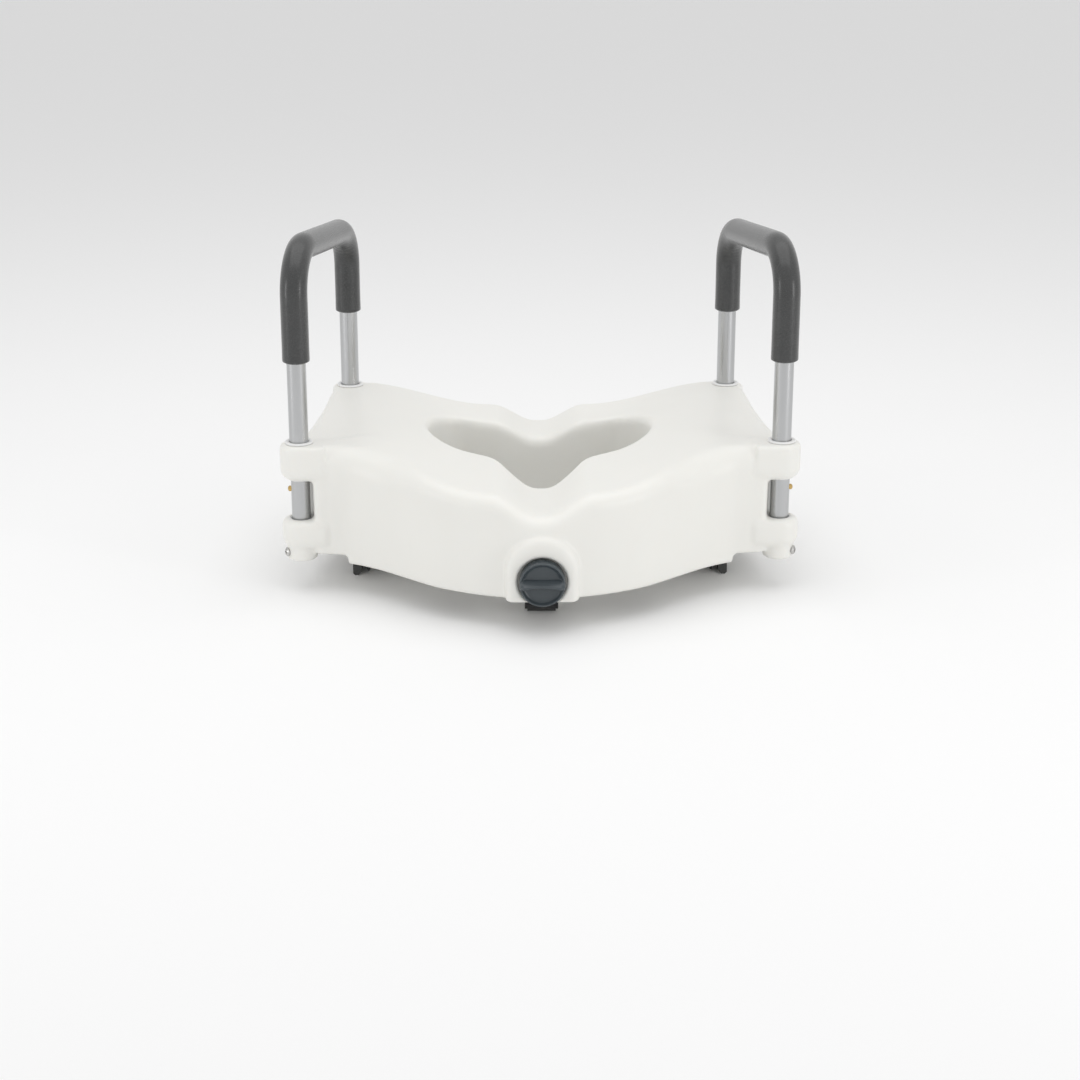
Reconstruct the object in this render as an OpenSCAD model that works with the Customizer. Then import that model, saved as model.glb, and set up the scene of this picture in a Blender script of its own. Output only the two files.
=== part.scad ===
// Raised toilet seat with lift-out padded arms and a front screw clamp.
// Units are millimetres. +X is right as seen from the knob's side, +Y the back of the seat, +Z up.

/* [Seat body] */
// Height of the deck at the arm sockets above the bowl rim
seat_h = 121.5; // [110:0.5:140]
// Height of the deck beside the opening above the bowl rim
deck_low = 102; // [90:2:112]
// Depth of the front and rear centre dips
dip = 17; // [8:1:24]
// Half width over which each centre dip runs out
dip_reach = 49; // [44:1:60]
// Radius of the deck's outer edge
edge_r = 13; // [8:1:15]
// How much rounder the front roll is beside the front lugs
roll = 9; // [0:1:10]
// Radius of the opening's lip
lip_r = 7; // [4:1:9]
// Height of the side wings' underside above the bowl rim
wing_z = 9.5; // [8:0.5:12]
// Half width of the base that rests on the bowl
base_half = 193.5; // [188:0.5:194]
// Wall thickness of the hollow side chambers
wall = 4.5; // [3.5:0.5:6]

/* [Arm sockets] */
// Half distance between the front legs
front_x = 240.5; // [236:0.5:246]
// Front leg position, front to back
front_y = 9; // [7:1:11]
// Half distance between the rear legs
rear_x = 205; // [202:0.5:208]
// Rear leg position, front to back
rear_y = 235; // [232:1:238]
// Outer radius of a socket lug
lug_r = 19.5; // [18:0.5:21]
// Top of the window between the upper and the lower lug
window_top = 84.5; // [80:0.5:88]
// Bottom of the window
window_low = 44.5; // [40:0.5:48]
// Bore radius for the plastic bushes
socket_r = 12; // [11.5:0.1:12.5]
// Outer radius of the cup below a lower lug
cup_r = 15.6; // [15:0.1:17]
// Turn of the front cups' screws towards the front
screw_turn = 35; // [0:5:60]

/* [Arms] */
// Tube outer radius, three quarters of an inch across
tube_r = 9.525; // [9:0.025:10]
// Tube wall thickness
tube_wall = 1.6; // [1.2:0.1:2]
// Height of the bar's front corner
bar_front = 315.5; // [290:0.5:330]
// Height of the bar's rear corner
bar_rear = 293.5; // [280:0.5:315]
// Centreline bend radius
bend_r = 42; // [36:1:50]
// Foam grip outer radius
grip_r = 13.7; // [12.5:0.1:15]
// Height at which the foam ends on both legs
grip_end = 201; // [190:1:215]
// Height of the snap buttons
button_z = 74; // [70:1:76]
// How far a snap button stands out of the tube
button_out = 3.1; // [2.5:0.1:3.5]

/* [Clamp] */
// Lock knob radius
knob_r = 22; // [20:0.2:24]
// Height of the knob's centre above the bowl rim
knob_z = 21.5; // [21:0.5:24]
// How far the boss's arch is centred above the knob
boss_rise = 9; // [4:0.5:10]
// Clamp spindle radius over the threads
spindle_r = 5; // [4:0.5:6]
// Clamp spindle thread pitch
pitch = 3; // [2:0.5:4]
// Clamping face of the jaw pad when tight, front to back
jaw_y = -68; // [-70:1:-62]
// How far the clamp and the guide brackets reach below the bowl rim
drop = 31; // [24:1:36]

/* [Hidden] */
$fn = 64;
steps = 2;
knob_face_y = -141.5;
rear_edge_y = rear_y + lug_r;
shift_y = -(knob_face_y + rear_edge_y) / 2;
leg_gap = norm([front_x - rear_x, rear_y - front_y]);
toe = atan((front_x - rear_x) / (rear_y - front_y));
slope = atan((bar_front - bar_rear) / leg_gap);
bend_front_z = bar_front - bend_r * tan((90 + slope) / 2);
bend_rear_z = bar_rear - bend_r * tan((90 - slope) / 2);
bar_len = (leg_gap - 2 * bend_r) / cos(slope);
leg_foot = 8.6;
grip_bore = tube_r + 0.25;
bush_bore = tube_r + 0.08;
spring_in = 4.3;

// Right half of the outline, front centre to rear centre: [outer x, outer y, lip x, lip y].
stations = [
  [0, -119, 0, -12],
  [20, -117.5, 10, -11],
  [40, -112, 19, -7],
  [60, -106, 27, -1],
  [80, -97, 34, 8],
  [100, -86, 41, 22],
  [120, -70, 50, 35],
  [142, -50, 63, 44],
  [165, -30, 79, 53],
  [190, -14, 93, 66],
  [212, -9, 102, 79],
  [226, -6, 108, 90],
  [229, 12, 112, 101],
  [241, 46, 115, 111],
  [235.5, 100, 115, 123],
  [229, 160, 113, 137],
  [226.5, 209, 107, 150.5],
  [223, 236, 99, 159],
  [212, 251, 90, 164],
  [190, 253, 81, 165],
  [165, 250, 72, 163],
  [135, 246, 62, 160],
  [105, 242, 52, 157],
  [75, 238, 42, 154],
  [50, 235, 30, 153],
  [25, 233, 15, 152.5],
  [0, 232, 0, 152.5]
];
last = len(stations) - 1;
half_cols = last * steps;
cols = 2 * half_cols;

function clamp01(t) = min(1, max(0, t));
function ease(a, b, v) = let (t = clamp01((v - a) / (b - a))) t * t * (3 - 2 * t);
function mix(a, b, t) = a + (b - a) * t;

// Station i, with the outline carried across the centre line by mirroring.
function mirrored(s) = [-s[0], s[1], -s[2], s[3]];
function station(i) = i < 0 ? mirrored(stations[-i]) : i > last ? mirrored(stations[2 * last - i]) : stations[i];

// Smooth curve through the stations at position u, counted in stations.
function along(u) =
  let (i = min(last - 1, floor(u)), t = u - i, a = station(i - 1), b = station(i), c = station(i + 1), d = station(i + 2))
  0.5 * (2 * b + (c - a) * t + (2 * a - 5 * b + 4 * c - d) * t * t + (3 * b - a - 3 * c + d) * t * t * t);
function column(k) = k <= half_cols ? along(k / steps) : mirrored(along((cols - k) / steps));

// Height of the deck's surface at a point.
function deck(x, y) =
  let (a = abs(x), front = 1 - ease(-60, 40, y))
  mix(deck_low, seat_h, ease(58, 188, a))
  - 4 * front * ease(118, 150, a) * (1 - ease(180, 215, a))
  - (dip + 3 * front) * (1 - ease(4, dip_reach, a));

// Radius of the deck's outer edge on a column.
function edge_on(c) = edge_r + roll * ease(110, 160, abs(c[0])) * (1 - ease(-14, 14, c[1]));

// Point on a column at distance d from its lip, or from its outer edge when d is negative.
function across(c, d) =
  let (o = [c[0], c[1]], i = [c[2], c[3]], u = (o - i) / norm(o - i))
  d < 0 ? o + u * d : i + u * d;
function on_deck(p, down) = [p[0], p[1], deck(p[0], p[1]) - down];
function part_way(c, f) = [mix(c[2], c[0], f), mix(c[3], c[1], f)];

module seat_loft() {
  low = 1 - cos(45);
  high = 1 - sin(45);
  rings = [for (k = [0 : cols - 1]) let (
    c = column(k),
    lip = deck(across(c, lip_r)[0], across(c, lip_r)[1]),
    e = edge_on(c),
    rim = deck(across(c, -e)[0], across(c, -e)[1])
  ) [
    [across(c, 3)[0], across(c, 3)[1], 0],
    [across(c, 0)[0], across(c, 0)[1], lip - lip_r],
    [across(c, lip_r * low)[0], across(c, lip_r * low)[1], lip - lip_r * high],
    on_deck(across(c, lip_r), 0),
    on_deck(part_way(c, 0.3), 0),
    on_deck(part_way(c, 0.5), 0),
    on_deck(part_way(c, 0.7), 0),
    on_deck(across(c, -e), 0),
    [across(c, -e * (1 - sin(30)))[0], across(c, -e * (1 - sin(30)))[1], rim - e * (1 - cos(30))],
    [across(c, -e * (1 - sin(60)))[0], across(c, -e * (1 - sin(60)))[1], rim - e * (1 - cos(60))],
    [across(c, -0.01)[0], across(c, -0.01)[1], rim - e],
    [across(c, -1.2)[0], across(c, -1.2)[1], 2.5],
    [across(c, -3.5)[0], across(c, -3.5)[1], 0]
  ]];
  m = len(rings[0]);
  points = [for (r = rings) for (p = r) p];
  faces = [for (k = [0 : cols - 1]) for (j = [0 : m - 1]) let (
    n = (k + 1) % cols,
    i = (j + 1) % m
  ) each [[k * m + j, n * m + i, k * m + i], [k * m + j, n * m + j, n * m + i]]];
  polyhedron(points = points, faces = faces);
}

// Floor of the hollow chamber: low over the base, raised over the side wing.
function floor_z(x) = 8 + (wing_z - 3) * clamp01((x - 166) / 14);

// One hollow side chamber, kept clear of the clamp, the sockets and the windows.
module side_chamber() {
  first = 3;
  end = 25;
  rings = [for (s = [first : end]) let (
    c = station(s),
    far = s < 15 ? -(wall + 3) : s == 15 ? -20 : s < 18 ? -46 : s == 18 ? -50 : s == 19 ? -30 : -(wall + 8),
    o = across(c, far),
    i = across(c, wall + lip_r),
    top_i = deck(i[0], i[1]) - wall - 1,
    top_o = deck(o[0], o[1]) - wall - edge_r * 0.5,
    at = function (f) [mix(i[0], o[0], f), mix(i[1], o[1], f)]
  ) [
    [i[0], i[1], 9],
    [i[0], i[1], top_i],
    on_deck(at(0.35), wall),
    on_deck(at(0.7), wall),
    [o[0], o[1], top_o],
    [o[0], o[1], 21],
    [at(0.85)[0], at(0.85)[1], 1 + floor_z(at(0.85)[0] + 4)],
    [at(0.65)[0], at(0.65)[1], 1 + floor_z(at(0.65)[0] + 4)],
    [at(0.45)[0], at(0.45)[1], 1 + floor_z(at(0.45)[0] + 4)],
    [at(0.2)[0], at(0.2)[1], 1 + floor_z(at(0.2)[0] + 4)]
  ]];
  m = len(rings[0]);
  n = len(rings);
  points = [for (r = rings) for (p = r) p];
  sides = [for (k = [0 : n - 2]) for (j = [0 : m - 1]) let (i = (j + 1) % m) each [
    [k * m + j, (k + 1) * m + i, k * m + i],
    [k * m + j, (k + 1) * m + j, (k + 1) * m + i]
  ]];
  start_cap = [for (j = [1 : m - 2]) [0, j, j + 1]];
  end_cap = [for (j = [1 : m - 2]) [(n - 1) * m, (n - 1) * m + j + 1, (n - 1) * m + j]];
  polyhedron(points = points, faces = concat(sides, start_cap, end_cap));
}

module both() {
  children();
  mirror([1, 0, 0]) children();
}

// Carries a piece from the bowl rim's level to the common frame.
module placed() {
  translate([0, shift_y, drop]) children();
}

// Places a piece drawn for the right front leg at a named corner: side 1 or -1, row 0 front or 1 rear.
module at_leg(side, row) {
  mirror([side < 0 ? 1 : 0, 0, 0])
    translate([front_x, front_y, 0])
      rotate([0, 0, toe])
        translate([0, row * leg_gap, 0])
          children();
}

// Places a piece on the axis of a cup's screw, pointing outwards.
module at_screw(row) {
  translate([0, 0, 9.8]) rotate([0, 90, row == 0 ? -screw_turn : 0]) children();
}

module upper_lug() {
  translate([0, 0, window_top]) cylinder(h = 9, r1 = 13.5, r2 = lug_r);
  translate([0, 0, window_top + 9]) cylinder(h = seat_h - window_top - 10.9, r = lug_r);
  translate([0, 0, seat_h - 1.9]) cylinder(h = 2.5, r1 = lug_r, r2 = lug_r - 2);
}

module lower_lug() {
  translate([0, 0, wing_z + 5.5]) cylinder(h = 4.5, r1 = lug_r - 4.5, r2 = lug_r);
  translate([0, 0, wing_z + 10]) cylinder(h = window_low - wing_z - 15, r = lug_r);
  translate([0, 0, window_low - 5]) cylinder(h = 5, r1 = lug_r, r2 = lug_r - 3);
  translate([0, 0, 1]) cylinder(h = wing_z + 7, r = cup_r);
}

// Webs that join the front lugs to the side wall.
module lug_webs() {
  translate([222, front_y - lug_r + 0.6, window_top + 0.6]) cube([19, 2 * lug_r - 4, seat_h - window_top - 1.5]);
  translate([222, front_y - lug_r + 0.6, wing_z + 2]) cube([19, 2 * lug_r - 4, window_low - wing_z - 2.7]);
}

module boss_shape(r, y, depth) {
  difference() {
    translate([0, y, knob_z + boss_rise]) rotate([-90, 0, 0]) cylinder(h = depth, r = r);
    translate([-r - 1, y - 1, -20]) cube([2 * r + 2, depth + 2, 30]);
  }
  translate([-r, y, 0]) cube([2 * r, depth, knob_z + boss_rise]);
}

module knob_boss() {
  boss_shape(33, -125, 2.1);
  boss_shape(34.6, -123.4, 1.9);
  boss_shape(35.5, -121.8, 40);
}

module seat_shell() {
  color("whitesmoke")
    placed()
      difference() {
        union() {
          difference() {
            seat_loft();
            both() translate([base_half, -160, -1]) cube([60, 440, wing_z + 1]);
          }
          for (side = [1, -1]) for (row = [0, 1]) at_leg(side, row) {
            upper_lug();
            lower_lug();
          }
          both() lug_webs();
          knob_boss();
        }
        both() side_chamber();
        both() translate([186.5, 217, window_low]) cube([60, 60, window_top - window_low]);
        for (side = [1, -1]) for (row = [0, 1]) at_leg(side, row) {
          translate([0, 0, 4]) cylinder(h = window_low, r = socket_r);
          translate([0, 0, -1]) cylinder(h = 7, r = 3.5);
          translate([0, 0, window_top - 1]) cylinder(h = 40, r = socket_r);
          at_screw(row) cylinder(h = cup_r + 3, r = 1.9);
          at_screw(row) translate([0, 0, cup_r + 0.05]) cylinder(h = 14, r = 5.4);
        }
        boss_recess();
        translate([0, -130, knob_z]) rotate([-90, 0, 0]) cylinder(h = 60, r = spindle_r + 0.4);
        translate([-17.5, -104, -1]) cube([35, 78, knob_z + 18]);
        both() translate([149.5, 44.5, -1]) cube([45, 66, 4.3]);
        both() for (y = [56, 99]) translate([160, y, 0]) cylinder(h = 14, r = 1.7);
        for (p = pad_spots) pad_place(p) pad_blank(0.4, 3, -1);
        both() translate([132, 205, -1]) cylinder(h = 14, r = 4);
      }
}

// Round recess that the knob turns in.
module boss_recess() {
  translate([0, -130, knob_z]) rotate([-90, 0, 0]) cylinder(h = 13, r = knob_r + 1.8);
}

// Anti-slip pads: [x, y, direction] of each.
pad_spots = [[92, -52, 38], [-92, -52, -38], [145, 182, 90], [-145, 182, 90]];
module pad_place(p) {
  translate([p[0], p[1], 0]) rotate([0, 0, p[2]]) children();
}
module pad_blank(grow, h, z) {
  translate([-22, -7 - grow, z]) cube([44, 14 + 2 * grow, h]);
  for (x = [-22, 22]) translate([x, 0, z]) cylinder(h = h, r = 7 + grow);
}
module rim_pad(i) {
  color("dimgray")
    placed()
      pad_place(pad_spots[i])
        difference() {
          pad_blank(0, 3.4, -1.5);
          for (x = [-20 : 8 : 20]) translate([x - 1, -8, -2]) cube([2, 16, 1.1]);
        }
}

// White collar pressed into the top of a socket.
module bush(side, row) {
  color("white")
    placed()
      at_leg(side, row)
        difference() {
          union() {
            translate([0, 0, window_top + 0.5]) cylinder(h = seat_h - window_top + 0.2, r = socket_r - 0.05);
            translate([0, 0, seat_h + 0.7]) cylinder(h = 1.2, r = 14.2);
            translate([0, 0, seat_h + 1.9]) cylinder(h = 0.8, r1 = 14.2, r2 = 13.2);
          }
          translate([0, 0, window_top]) cylinder(h = 60, r = bush_bore);
          translate([0, 0, seat_h + 1.5]) cylinder(h = 1.3, r1 = bush_bore, r2 = bush_bore + 1);
        }
}

// Closed liner in the lower lug that the leg stands in.
module liner(side, row) {
  color("white")
    placed()
      at_leg(side, row)
        difference() {
          translate([0, 0, 5.2]) cylinder(h = window_low - 5.6, r = socket_r - 0.05);
          translate([0, 0, leg_foot - 0.6]) cylinder(h = 60, r = bush_bore);
          translate([0, 0, window_low - 2.4]) cylinder(h = 2.2, r1 = bush_bore, r2 = bush_bore + 1.2);
          translate([0, 0, 4]) cylinder(h = 6, r = 3);
          at_screw(row) translate([0, 0, bush_bore + 0.6]) cylinder(h = 6, r = 1.7);
        }
}

// Cross-head screw drawn along +Z with its head above z = 0.
module cross_screw(head_r, head_h, shank_r, shank) {
  difference() {
    union() {
      cylinder(h = head_h * 0.45, r = head_r);
      translate([0, 0, head_h * 0.45]) cylinder(h = head_h * 0.55, r1 = head_r, r2 = head_r * 0.6);
      translate([0, 0, -shank]) cylinder(h = shank + 0.1, r = shank_r);
      translate([0, 0, -shank - shank_r]) cylinder(h = shank_r, r1 = 0.2, r2 = shank_r);
    }
    for (a = [0, 90]) rotate([0, 0, a]) translate([-head_r * 0.62, -0.5, head_h * 0.4]) cube([head_r * 1.24, 1, head_h]);
  }
}

module socket_screws() {
  color("silver")
    placed()
      for (side = [1, -1]) for (row = [0, 1]) at_leg(side, row)
        at_screw(row) translate([0, 0, cup_r + 0.1]) cross_screw(4.6, 2.4, 1.6, cup_r - socket_r + 0.1);
}

// Solid arm path between two end heights, drawn for the right side. The bends are a hair
// slimmer than the straight runs, which reach a little way over them.
module arm_sweep(r, front_end, rear_end, slim) {
  lap = 0.4;
  translate([0, 0, front_end]) cylinder(h = bend_front_z - front_end + lap, r = r);
  translate([0, leg_gap, rear_end]) cylinder(h = bend_rear_z - rear_end + lap, r = r);
  translate([0, bend_r, bend_front_z])
    rotate([90, 0, 90])
      rotate([0, 0, 90 - slope])
        rotate_extrude(angle = 90 + slope) translate([bend_r, 0]) circle(r = r - slim);
  translate([0, leg_gap - bend_r, bend_rear_z])
    rotate([90, 0, 90])
      rotate_extrude(angle = 90 - slope) translate([bend_r, 0]) circle(r = r - slim);
  translate([0, bend_r + bend_r * sin(slope), bend_front_z + bend_r * cos(slope)])
    rotate([-(90 + slope), 0, 0])
      translate([0, 0, -lap]) cylinder(h = bar_len + 2 * lap, r = r);
}

// Side-to-side hole through a leg's outer wall.
module leg_hole(y, z, r) {
  translate([0, y, z]) rotate([0, 90, 0]) cylinder(h = 16, r = r);
}

module arm_tube(side) {
  color("lightgray")
    placed()
      at_leg(side, 0)
        difference() {
          arm_sweep(tube_r, leg_foot, leg_foot, 0.03);
          arm_sweep(tube_r - tube_wall, leg_foot - 2, leg_foot - 2, 0.03);
          for (y = [0, leg_gap]) {
            leg_hole(y, button_z, 2.9);
            for (z = [48.5, 30]) leg_hole(y, z, 2.9);
          }
        }
}

module arm_grip(side) {
  color("dimgray")
    placed()
      at_leg(side, 0)
        difference() {
          arm_sweep(grip_r, grip_end, grip_end, 0.15);
          arm_sweep(grip_bore, grip_end - 2, grip_end - 2, 0.15);
        }
}

module leg_plug(side, row) {
  color("black")
    placed()
      at_leg(side, row) {
        translate([0, 0, leg_foot - 0.45]) cylinder(h = 0.4, r = tube_r - 0.3);
        translate([0, 0, leg_foot - 0.1]) cylinder(h = 9, r = tube_r - tube_wall - 0.05);
      }
}

module snap_button(side, row) {
  color("goldenrod")
    placed()
      at_leg(side, row)
        translate([0, 0, button_z])
          rotate([0, 90, 0]) {
            translate([0, 0, spring_in + 0.85]) cylinder(h = 1.1, r = 3.9);
            translate([0, 0, spring_in + 1.9]) cylinder(h = tube_r + button_out - spring_in - 2.9, r = 2.82);
            translate([0, 0, tube_r + button_out - 1]) cylinder(h = 1, r1 = 2.82, r2 = 1.8);
          }
}

module leaf_spring(side, row) {
  mid = (spring_in + 0.8 - 7) / 2;
  reach = (spring_in + 0.8 + 7) / 2;
  color("silver")
    placed()
      at_leg(side, row) {
        translate([spring_in, -3, button_z - 26]) cube([0.8, 6, 31]);
        translate([-7, -3, button_z - 26]) cube([0.8, 6, 22]);
        translate([mid, 0, button_z - 26])
          rotate([90, 0, 0])
            rotate([0, 0, 180])
              rotate_extrude(angle = 180) translate([reach - 0.8, -3]) square([0.8, 6]);
      }
}

module lock_knob() {
  color("darkslategray")
    placed()
      translate([0, 0, knob_z])
        rotate([90, 0, 0])
          difference() {
            union() {
              translate([0, 0, 117.6]) cylinder(h = 14.4, r = knob_r);
              translate([0, 0, 132]) cylinder(h = 2, r1 = knob_r, r2 = knob_r - 1.4);
              intersection() {
                translate([0, 0, 125]) cylinder(h = 9.5, r = knob_r - 1.6);
                finger_bar();
              }
              intersection() {
                translate([0, 0, 125]) cylinder(h = 16.5, r = knob_r - 3.2);
                finger_bar();
              }
            }
            difference() {
              translate([0, 0, 128]) cylinder(h = 7, r1 = knob_r - 6, r2 = knob_r - 2);
              finger_bar();
            }
            translate([0, 0, 110]) cylinder(h = 20, r = spindle_r + 0.05);
          }
}

// Grip bar across the knob, waisted at the middle.
module finger_bar() {
  difference() {
    translate([-knob_r, -5.2, 120]) cube([2 * knob_r, 10.4, 21.5]);
    for (s = [1, -1]) translate([0, s * 33, 119]) cylinder(h = 24, r = 29.6);
  }
}

// Spindle profile: collar, plain bearing, clip groove, then ring threads.
module clamp_spindle() {
  near = 129;
  tip = 31;
  crest = spindle_r;
  root = spindle_r - 0.9;
  threads = floor((98 - tip - 2) / pitch);
  tooth = [for (i = [0 : threads - 1]) each [[crest, 97 - i * pitch], [root, 97 - (i + 0.5) * pitch]]];
  profile = concat(
    [[0, tip], [0, near], [spindle_r, near], [spindle_r, 102.9], [spindle_r - 1.2, 102.9], [spindle_r - 1.2, 101.5],
     [spindle_r, 101.5]],
    tooth,
    [[root, tip + 0.6], [root - 0.6, tip]]
  );
  color("silver")
    placed()
      translate([0, 0, knob_z])
        rotate([90, 0, 0])
          rotate_extrude() polygon(profile);
}

module thrust_washer() {
  color("silver")
    placed()
      translate([0, -103.95, knob_z])
        rotate([-90, 0, 0])
          difference() {
            cylinder(h = 0.95, r = 11);
            translate([0, 0, -1]) cylinder(h = 4, r = spindle_r + 0.4);
          }
}

module retaining_clip() {
  color("dimgray")
    placed()
      translate([0, -102.85, knob_z])
        rotate([-90, 0, 0])
          difference() {
            cylinder(h = 1.2, r = 8.5);
            translate([0, 0, -1]) cylinder(h = 4, r = spindle_r - 1.15);
            translate([-2.6, 0, -1]) cube([5.2, 12, 4]);
          }
}

module clamp_jaw() {
  color("darkslategray")
    placed()
      difference() {
        union() {
          translate([-16.5, jaw_y + 4, 1.5]) cube([33, 15.5, knob_z + 13]);
          translate([-16.5, jaw_y + 4, -drop + 3]) cube([33, 7, drop]);
          translate([-14, jaw_y + 6, -drop]) cube([28, 5, 4]);
          for (x = [-16.5, -2, 12.5]) translate([x, jaw_y + 10.5, 0]) gusset();
        }
        translate([0, jaw_y, knob_z]) rotate([-90, 0, 0]) cylinder(h = 40, r = spindle_r + 0.5);
        translate([0, jaw_y + 13, knob_z]) rotate([-90, 0, 0]) cylinder(h = 10, r = 9.35, $fn = 6);
        for (x = [-8, 8]) for (z = [-8, -20]) translate([x, jaw_y, z]) rotate([-90, 0, 0]) cylinder(h = 20, r = 2);
      }
}

// Triangular rib behind the jaw plate.
module gusset() {
  translate([0, 0, 2])
    rotate([90, 0, 90])
      linear_extrude(4) polygon([[0, 0], [9, 0], [9, -4], [0, -24]]);
}

module jaw_nut() {
  color("goldenrod")
    placed()
      translate([0, jaw_y + 13.1, knob_z])
        rotate([-90, 0, 0])
          difference() {
            cylinder(h = 6.3, r = 9.3, $fn = 6);
            translate([0, 0, -1]) cylinder(h = 10, r = spindle_r + 0.1);
          }
}

module jaw_pad() {
  color("dimgray")
    placed() {
      difference() {
        translate([-15.5, jaw_y, -drop + 4.5]) cube([31, 4, drop - 7]);
        for (z = [-drop + 8 : 5 : -6]) translate([-17, jaw_y - 1, z]) cube([34, 2.2, 1.6]);
      }
      for (x = [-8, 8]) for (z = [-8, -20]) translate([x, jaw_y + 3.9, z]) rotate([-90, 0, 0]) cylinder(h = 6.5, r = 1.95);
    }
}

module guide_bracket(side) {
  color("dimgray")
    placed()
      mirror([side < 0 ? 1 : 0, 0, 0])
        difference() {
          union() {
            translate([150, 45, 0]) cube([43.2, 65, 3]);
            translate([0, 110, 0])
              rotate([90, 0, 0])
                linear_extrude(65) polygon([[184.2, 1], [193.2, 1], [193.2, -drop + 2], [191.2, -drop], [187.5, -drop], [184.2, -drop + 4]]);
            for (y = [47, 76, 104]) translate([178, y, 0.5]) rotate([-90, 0, 0]) linear_extrude(4) polygon([[0, 0], [7, 0], [7, 9]]);
          }
          for (y = [56, 99]) translate([160, y, -1]) cylinder(h = 6, r = 2);
          for (y = [56, 99]) translate([160, y, -0.1]) cylinder(h = 1.6, r1 = 4.4, r2 = 2.9);
        }
}

// Soft fin that bears on the side of the bowl.
module guide_fin(side) {
  color("black")
    placed()
      mirror([side < 0 ? 1 : 0, 0, 0])
        translate([0, 102, 0])
          rotate([90, 0, 0])
            linear_extrude(49) polygon([[184.1, -12], [181, -13], [176.2, -drop + 2.5], [178, -drop + 1.6], [181.6, -17], [184.1, -18.5]]);
}

module bracket_screws() {
  color("silver")
    placed()
      both() for (y = [56, 99]) translate([160, y, 1.35]) rotate([180, 0, 0]) cross_screw(2.8, 1.3, 1.55, 9);
}

seat_shell();
bush(-1, 0);  // bush_front_left
bush(1, 0);  // bush_front_right
bush(-1, 1);  // bush_rear_left
bush(1, 1);  // bush_rear_right
liner(-1, 0);  // liner_front_left
liner(1, 0);  // liner_front_right
liner(-1, 1);  // liner_rear_left
liner(1, 1);  // liner_rear_right
socket_screws();
rim_pad(0);  // rim_pad_front_right
rim_pad(1);  // rim_pad_front_left
rim_pad(2);  // rim_pad_rear_right
rim_pad(3);  // rim_pad_rear_left
guide_bracket(-1);  // guide_bracket_left
guide_bracket(1);  // guide_bracket_right
guide_fin(-1);  // guide_fin_left
guide_fin(1);  // guide_fin_right
bracket_screws();
thrust_washer();
lock_knob();
clamp_spindle();
retaining_clip();
clamp_jaw();
jaw_nut();
jaw_pad();
arm_tube(-1);  // arm_tube_left
arm_grip(-1);  // arm_grip_left
leg_plug(-1, 0);  // leg_plug_front_left
leg_plug(-1, 1);  // leg_plug_rear_left
leaf_spring(-1, 0);  // leaf_spring_front_left
leaf_spring(-1, 1);  // leaf_spring_rear_left
snap_button(-1, 0);  // snap_button_front_left
snap_button(-1, 1);  // snap_button_rear_left
arm_tube(1);  // arm_tube_right
arm_grip(1);  // arm_grip_right
leg_plug(1, 0);  // leg_plug_front_right
leg_plug(1, 1);  // leg_plug_rear_right
leaf_spring(1, 0);  // leaf_spring_front_right
leaf_spring(1, 1);  // leaf_spring_rear_right
snap_button(1, 0);  // snap_button_front_right
snap_button(1, 1);  // snap_button_rear_right
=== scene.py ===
import math

import bmesh
import bpy
from mathutils import Matrix, Vector


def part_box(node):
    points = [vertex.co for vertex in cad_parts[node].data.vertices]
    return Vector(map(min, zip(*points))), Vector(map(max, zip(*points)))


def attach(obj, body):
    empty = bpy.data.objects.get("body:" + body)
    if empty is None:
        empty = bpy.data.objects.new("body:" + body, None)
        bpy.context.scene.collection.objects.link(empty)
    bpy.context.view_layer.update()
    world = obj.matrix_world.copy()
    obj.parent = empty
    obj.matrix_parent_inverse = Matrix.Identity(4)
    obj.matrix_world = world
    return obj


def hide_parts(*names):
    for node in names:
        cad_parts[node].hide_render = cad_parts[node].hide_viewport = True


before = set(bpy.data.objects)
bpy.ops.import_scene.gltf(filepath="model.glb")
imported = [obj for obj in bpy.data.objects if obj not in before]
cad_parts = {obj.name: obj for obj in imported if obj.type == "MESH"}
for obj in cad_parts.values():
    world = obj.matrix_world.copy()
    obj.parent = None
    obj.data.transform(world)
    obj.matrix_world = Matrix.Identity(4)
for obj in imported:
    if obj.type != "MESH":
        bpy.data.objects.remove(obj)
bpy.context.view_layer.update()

print("frame loaded:", len(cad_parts), "nodes")

# Lengths below are in millimetres from the bowl rim's level and the front legs' middle.
mm = 0.001
seatLow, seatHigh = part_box("seat_shell")
rimLevel = seatLow.z
backShift = seatLow.y + 0.125


def place(x, y, z):
    return Vector((x * mm, y * mm + backShift, z * mm + rimLevel))


# Camera, floor and lights.

studio = {
    "cameraPlace": (-0.0267, -2.1537, 0.7656),
    "pitch": 18.77,  # degrees below the horizon
    "turn": 0.71,  # degrees towards +X
    "lens": 73.3,
    "worldStrength": 0.74,
    "overhead": 14.0,
    "left": 3.2,
    "right": 4.6,
    "floorColour": (0.93, 0.93, 0.93),
}


def addCamera():
    data = bpy.data.cameras.new("camera")
    data.lens = studio["lens"]
    camera = bpy.data.objects.new("camera", data)
    camera.location = studio["cameraPlace"]
    camera.rotation_euler = (math.radians(90 - studio["pitch"]), 0, -math.radians(studio["turn"]))
    bpy.context.collection.objects.link(camera)
    bpy.context.scene.camera = camera


def addSoftbox(name, at, aim, size, watts, colour=(1, 1, 1)):
    data = bpy.data.lights.new(name, "AREA")
    data.shape = "RECTANGLE"
    data.size, data.size_y = size
    data.energy = watts
    data.color = colour
    light = bpy.data.objects.new(name, data)
    light.location = at
    light.rotation_euler = (Vector(aim) - Vector(at)).to_track_quat("-Z", "Y").to_euler()
    bpy.context.collection.objects.link(light)


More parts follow.
